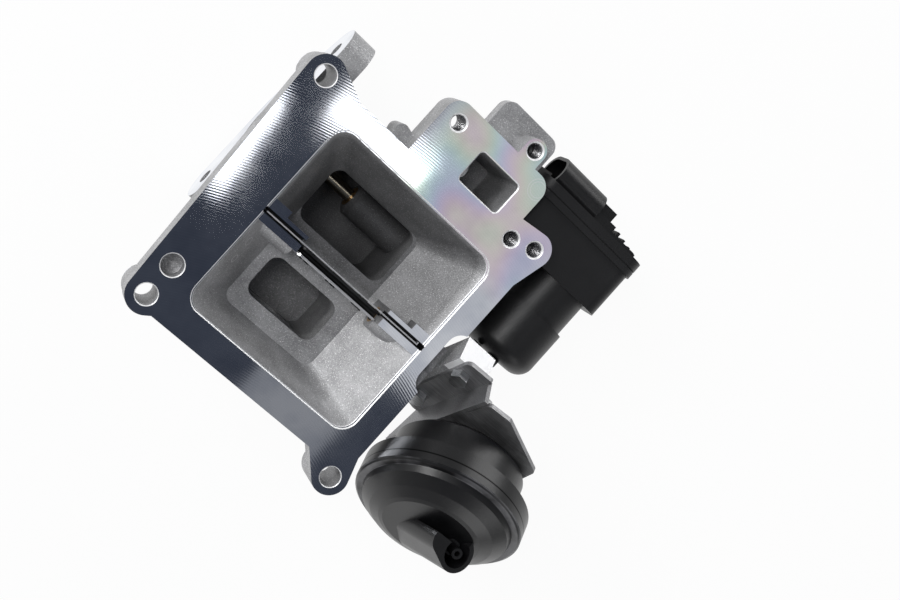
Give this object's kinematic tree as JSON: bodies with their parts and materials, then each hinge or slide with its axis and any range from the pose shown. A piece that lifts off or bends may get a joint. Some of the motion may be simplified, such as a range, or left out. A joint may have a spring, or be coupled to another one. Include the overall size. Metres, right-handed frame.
{
  "type": "exhaust gas recirculation valve",
  "caption": "Motor-driven exhaust gas recirculation valve in a cast housing with a funnel-shaped cooler flange, a bypass flap and a vacuum actuator on a bracket",
  "frame": {"origin": "mouth of the main dowel bore in the machined cooler flange", "axes": "+Z leaves the cooler flange towards the cooler, +X runs along the divider towards the vacuum can, +Y points towards the electric drive"},
  "size_m": [0.2069, 0.1776, 0.1038],
  "materials": {
    "cast_aluminium": "die-cast, machined on the flange faces",
    "black_plastic": "moulded glass-filled plastic, satin",
    "stainless": "rolled and ground stainless steel",
    "zinc_steel": "zinc-plated steel",
    "steel": "bright steel",
    "bronze": "sintered bronze",
    "seal_rubber": "moulded rubber",
    "gear_plastic": "moulded gear plastic",
    "board": "printed circuit board"
  },
  "bodies": {
    "housing": {"valve_housing": "cast_aluminium", "bolt_lobes": "cast_aluminium", "dowel_boss": "cast_aluminium", "tapped_bosses": "cast_aluminium", "window_pocket": "cast_aluminium", "inlet_flange": "cast_aluminium", "valve_room": "cast_aluminium", "outlet_duct": "cast_aluminium", "return_passage": "cast_aluminium", "divider_strip": "stainless", "valve_seat_ring": "steel", "stem_guide_bush": "bronze", "stem_seal": "seal_rubber", "flap_bushes": "bronze", "coolant_spigot": "zinc_steel", "drive_case": "cast_aluminium", "drive_case_screws": "zinc_steel", "output_bushes": "bronze", "gearbox_housing": "black_plastic", "gearbox_screws": "zinc_steel", "gearbox_gasket": "seal_rubber", "gearbox_cover": "black_plastic", "connector_terminals": "bronze", "sensor_board": "board", "motor_cap": "black_plastic", "motor_can": "zinc_steel", "motor_magnets": "steel", "motor_bearings": "bronze", "intermediate_pin": "steel", "can_bracket": "zinc_steel", "bracket_screws": "zinc_steel", "can_body": "black_plastic", "can_cover": "black_plastic", "vacuum_nipple": "black_plastic", "can_nuts": "zinc_steel", "diaphragm": "seal_rubber", "diaphragm_spring": "steel", "valve_return_spring": "steel"},
    "valve": {"valve_poppet": "stainless", "spring_retainer": "steel", "stem_rack": "steel"},
    "flap": {"flap_leaf_front": "stainless", "flap_leaf_rear": "stainless", "flap_rivets": "zinc_steel", "flap_shaft": "stainless", "flap_lever": "zinc_steel", "lever_pin": "zinc_steel", "lever_nut": "zinc_steel"},
    "actuator_rod": {"actuator_rod": "zinc_steel", "rod_end": "zinc_steel", "diaphragm_plate": "zinc_steel"},
    "output": {"output_shaft": "steel", "output_gear": "gear_plastic", "output_pinion": "steel", "sensor_magnet": "steel"},
    "intermediate": {"intermediate_gear": "gear_plastic"},
    "motor": {"rotor_shaft": "steel", "rotor_core": "steel", "motor_pinion": "steel"}
  },
  "joints": [
    {"name": "motor_turn", "type": "hinge", "parent": "housing", "child": "motor", "pos_m": [0.1412, 0.0996, -0.036], "axis": [0, -1, 0], "range_deg": [-0.5, 602.4]},
    {"name": "intermediate_turn", "type": "hinge", "parent": "housing", "child": "intermediate", "pos_m": [0.1237, 0.0996, -0.03575], "axis": [0, -1, 0], "range_deg": [-209.35, 1]},
    {"name": "output_turn", "type": "hinge", "parent": "housing", "child": "output", "pos_m": [0.1082, 0.0996, -0.056], "axis": [0, -1, 0], "range_deg": [-0.5, 57.8]},
    {"name": "valve_lift", "type": "slide", "parent": "housing", "child": "valve", "axis": [-1, 0, 0], "range_m": [0, 0.007], "stiffness_N_per_m": 600, "springref_m": -0.006, "deforming": ["valve_return_spring"]},
    {"name": "flap_turn", "type": "hinge", "parent": "housing", "child": "flap", "pos_m": [0.0572, 0.0379, -0.014], "axis": [-1, 0, 0], "range_deg": [-0.2, 60.2]},
    {"name": "rod_pull", "type": "slide", "parent": "housing", "child": "actuator_rod", "axis": [0, -0.788, 0.6157], "range_m": [0, 0.01444], "stiffness_N_per_m": 800, "springref_m": -0.012, "deforming": ["diaphragm", "diaphragm_spring"]}
  ],
  "couplings": [
    {"joint": "motor_turn", "follows": "valve_lift", "rad_per_m": 1500.7},
    {"joint": "intermediate_turn", "follows": "valve_lift", "rad_per_m": -519.48},
    {"joint": "output_turn", "follows": "valve_lift", "rad_per_m": 142.86},
    {"joint": "flap_turn", "follows": "rod_pull", "rad_per_m": 72.529}
  ]
}
